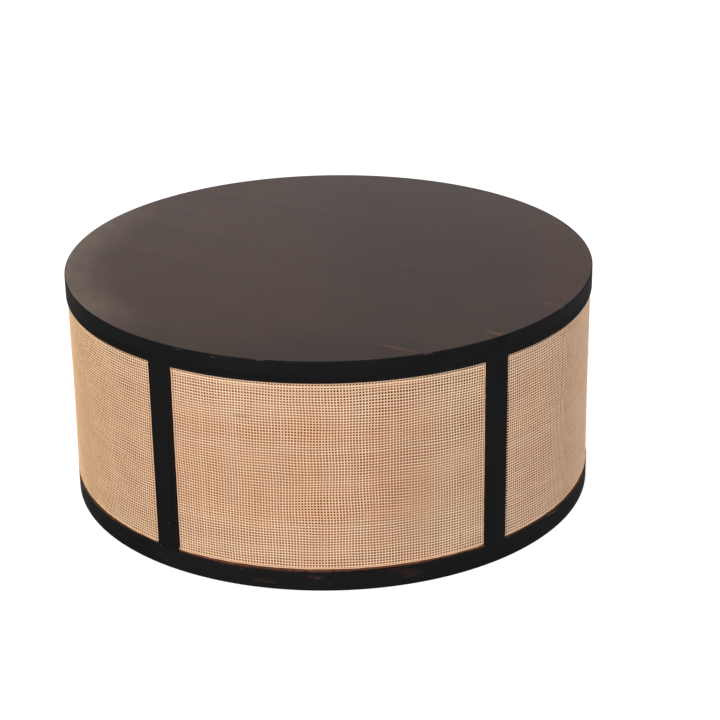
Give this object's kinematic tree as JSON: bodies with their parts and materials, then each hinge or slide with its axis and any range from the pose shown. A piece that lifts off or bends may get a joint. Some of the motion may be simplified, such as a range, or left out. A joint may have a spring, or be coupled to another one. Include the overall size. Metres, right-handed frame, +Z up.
{
  "type": "drum coffee table",
  "caption": "Round drum coffee table: a stained board top on a ringed drum of timber with upright stiles and bays filled with woven cane.",
  "frame": {"origin": "on the floor, at the middle of the drum's foot", "axes": "+Z up through the middle of the top; -Y is the front, where the middle of one cane bay faces; +X to the right as seen from the front"},
  "size_m": [0.8, 0.8, 0.353],
  "materials": {
    "top_wood": "satin grey-brown stain over open grain",
    "frame_wood": "satin near-black stain",
    "inside_wood": "matt brown stain",
    "backing": "matt brown bent plywood",
    "cane": "dry woven cane, matt"
  },
  "bodies": {
    "root": {"back_panel_1": "backing", "back_panel_2": "backing", "back_panel_3": "backing", "back_panel_4": "backing", "back_panel_5": "backing", "batten_1": "inside_wood", "batten_2": "inside_wood", "cane_panel_1": "cane", "cane_panel_2": "cane", "cane_panel_3": "cane", "cane_panel_4": "cane", "cane_panel_5": "cane", "lower_ring_1": "frame_wood", "lower_ring_2": "frame_wood", "lower_ring_3": "frame_wood", "lower_ring_4": "frame_wood", "lower_ring_5": "frame_wood", "lower_ring_splines": "inside_wood", "stile_1": "frame_wood", "stile_2": "frame_wood", "stile_3": "frame_wood", "stile_4": "frame_wood", "stile_5": "frame_wood", "top_board_1": "top_wood", "top_board_2": "top_wood", "top_board_3": "top_wood", "top_board_4": "top_wood", "top_board_5": "top_wood", "top_board_6": "top_wood", "upper_ring_1": "frame_wood", "upper_ring_2": "frame_wood", "upper_ring_3": "frame_wood", "upper_ring_4": "frame_wood", "upper_ring_5": "frame_wood", "upper_ring_splines": "inside_wood"}
  },
  "joints": []
}
